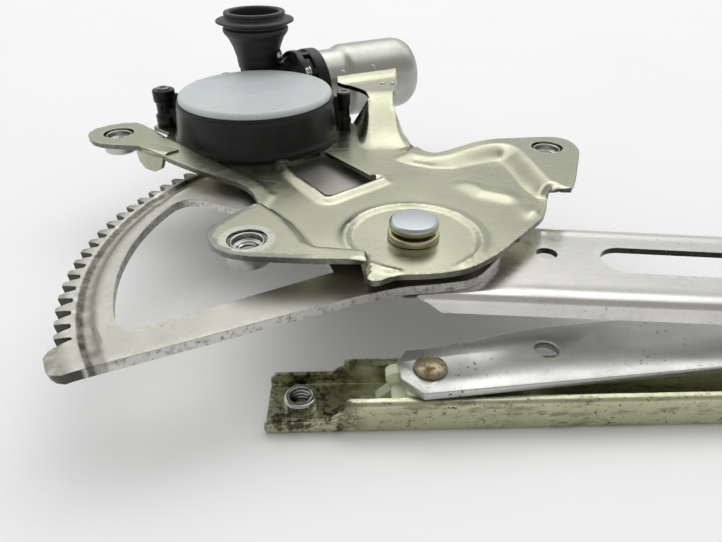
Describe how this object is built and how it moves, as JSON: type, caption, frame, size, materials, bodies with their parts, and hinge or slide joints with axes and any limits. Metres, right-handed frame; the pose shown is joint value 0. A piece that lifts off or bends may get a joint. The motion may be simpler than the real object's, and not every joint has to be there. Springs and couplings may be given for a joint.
{
  "type": "window regulator",
  "caption": "Cross-arm power window regulator: stamped base plate with geared motor, toothed sector and lift arm, equalizer arm, sliders, glass rail and guide rail.",
  "frame": {"origin": "centre of the front ear's threaded hole, at the mouth of its thread", "axes": "+X along the glass rail away from the motor, +Z out of the base plate towards the motor side"},
  "size_m": [0.5384, 0.234, 0.078],
  "materials": {
    "olive_zinc": "satin olive zinc",
    "bright_zinc": "bright zinc",
    "sintered_bronze": "sintered",
    "rail_zinc": "olive-yellow zinc",
    "black_plastic": "satin black",
    "grey_plastic": "pale blue-grey",
    "black_rubber": "matt",
    "can_steel": "satin",
    "ferrite": "matt",
    "carbon": "matt",
    "brass": "bright",
    "sector_steel": "satin grey",
    "arm_zinc": "satin zinc",
    "rivet_bronze": "rusty",
    "hardened_steel": "ground",
    "white_nylon": "natural nylon",
    "core_steel": "stacked",
    "copper": "enamelled",
    "equalizer_zinc": "speckled zinc"
  },
  "bodies": {
    "frame": {"base_plate": "olive_zinc", "ear_nuts": "bright_zinc", "pivot_bush": "sintered_bronze", "guide_rail": "rail_zinc", "guide_studs": "bright_zinc", "gear_housing": "black_plastic", "housing_cover": "grey_plastic", "cover_gasket": "black_rubber", "housing_screws": "bright_zinc", "motor_can": "can_steel", "can_bush": "sintered_bronze", "worm_bushes": "sintered_bronze", "motor_magnets": "ferrite", "brush_card": "black_plastic", "carbon_brushes": "carbon", "connector_boot": "black_rubber", "connector_shell": "black_plastic", "connector_terminals": "brass"},
    "lift_arm": {"sector_gear": "sector_steel", "lift_arm": "arm_zinc", "sector_rivets": "bright_zinc", "main_pivot_pin": "bright_zinc", "lift_end_pin": "rivet_bronze"},
    "output": {"output_pinion": "hardened_steel", "worm_wheel": "white_nylon", "damper_rubber": "black_rubber", "drive_plate": "hardened_steel"},
    "armature": {"armature_shaft": "hardened_steel", "armature_core": "core_steel", "armature_windings": "copper", "commutator": "copper"},
    "equalizer": {"equalizer_lower_arm": "equalizer_zinc", "equalizer_upper_arm": "equalizer_zinc", "cross_pin": "bright_zinc", "cross_spacer": "bright_zinc", "equalizer_pins": "rivet_bronze"},
    "rail_slider": {"rail_slider": "white_nylon"},
    "lift_slider": {"lift_slider": "white_nylon"},
    "guide_slider": {"guide_slider": "white_nylon"},
    "glass_rail": {"glass_rail": "rail_zinc", "rail_nuts": "bright_zinc"}
  },
  "joints": [
    {"name": "lift_arm_pivot", "type": "hinge", "parent": "frame", "child": "lift_arm", "pos_m": [0.0505, 0.0078, -0.0078], "axis": [0, 0, 1], "range_deg": [-60, 18]},
    {"name": "output_shaft", "type": "hinge", "parent": "frame", "child": "output", "pos_m": [-0.00835, 0.10309, -0.0078], "axis": [0, 0, 1], "range_deg": [-240, 790]},
    {"name": "armature_shaft", "type": "hinge", "parent": "frame", "child": "armature", "pos_m": [-0.02119, 0.12684, 0.0062], "axis": [0.8796, 0.4756, 0], "range_deg": [-10400, 34400]},
    {"name": "cross_pivot", "type": "hinge", "parent": "lift_arm", "child": "equalizer", "pos_m": [0.24055, -0.0112, -0.0078], "axis": [0, 0, 1], "range_deg": [-38, 122]},
    {"name": "lift_slider_pivot", "type": "hinge", "parent": "lift_arm", "child": "lift_slider", "pos_m": [0.42862, -0.03001, -0.0298], "axis": [0, 0, 1], "range_deg": [-20, 62]},
    {"name": "rail_slider_pivot", "type": "hinge", "parent": "equalizer", "child": "rail_slider", "pos_m": [0.05249, -0.03001, -0.0298], "axis": [0, 0, 1], "range_deg": [-62, 20]},
    {"name": "guide_slider_pivot", "type": "hinge", "parent": "equalizer", "child": "guide_slider", "pos_m": [0.43061, 0.0078, 0.0022], "axis": [0, 0, 1], "range_deg": [-62, 20]},
    {"name": "glass_rail_slide", "type": "slide", "parent": "rail_slider", "child": "glass_rail", "axis": [1, 0, 0], "range_m": [-0.006, 0.006]}
  ],
  "couplings": [
    {"joint": "output_shaft", "follows": "lift_arm_pivot", "ratio": -13},
    {"joint": "armature_shaft", "follows": "lift_arm_pivot", "ratio": -572},
    {"joint": "cross_pivot", "follows": "lift_arm_pivot", "ratio": -2},
    {"joint": "lift_slider_pivot", "follows": "lift_arm_pivot", "ratio": -1},
    {"joint": "rail_slider_pivot", "follows": "lift_arm_pivot", "ratio": 1},
    {"joint": "guide_slider_pivot", "follows": "lift_arm_pivot", "ratio": 1}
  ]
}
